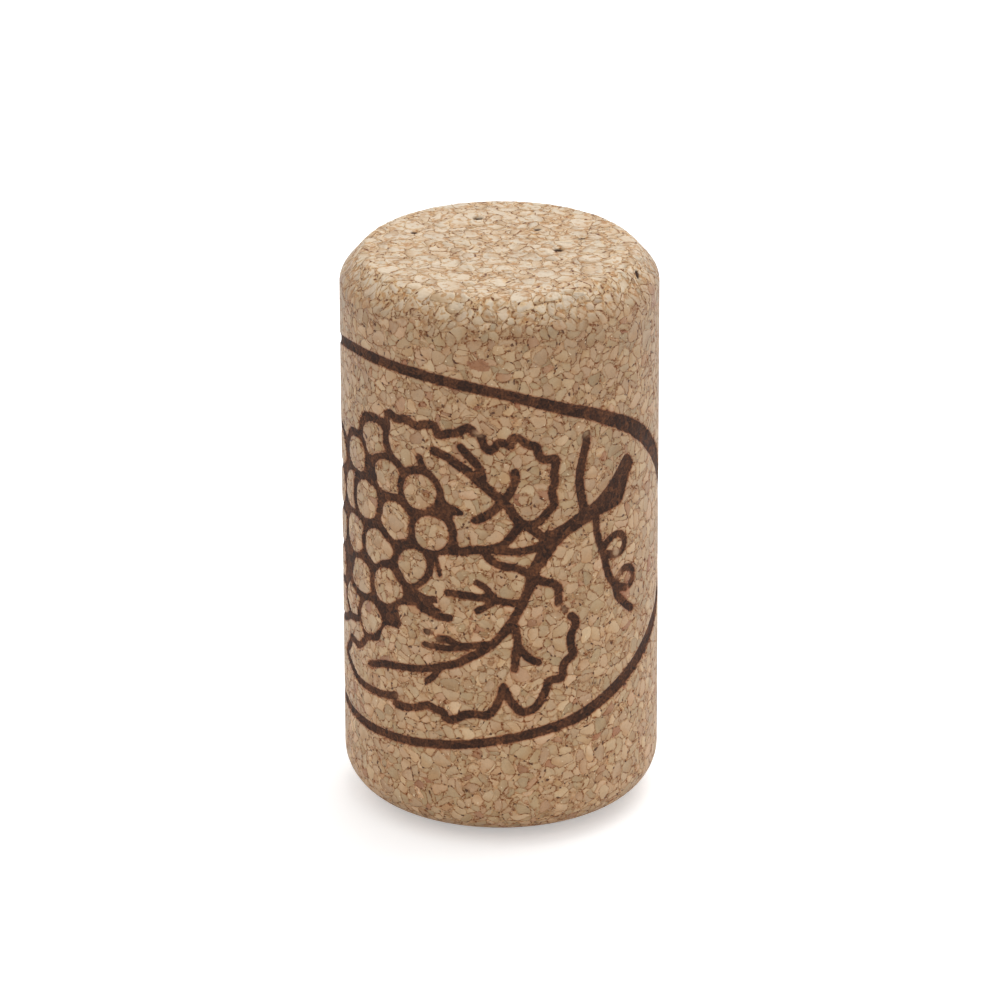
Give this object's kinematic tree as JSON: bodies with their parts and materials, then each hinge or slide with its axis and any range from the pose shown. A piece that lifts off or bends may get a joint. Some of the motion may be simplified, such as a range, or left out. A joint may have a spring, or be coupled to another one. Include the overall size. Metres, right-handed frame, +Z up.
{
  "type": "cork bottle stopper",
  "caption": "Straight pressed-cork stopper for a wine bottle, bevelled at both ends, with a grape and vine leaf ornament burnt into its wall.",
  "frame": {"origin": "centre of the foot face, on the surface that the stopper stands on", "axes": "+Z up the stopper's axis to its top face, -Y out of the middle of the decorated side, +X to the right as that side is looked at"},
  "size_m": [0.024, 0.024, 0.044],
  "materials": {
    "cork": "matte"
  },
  "bodies": {
    "root": {"stopper": "cork"}
  },
  "joints": []
}
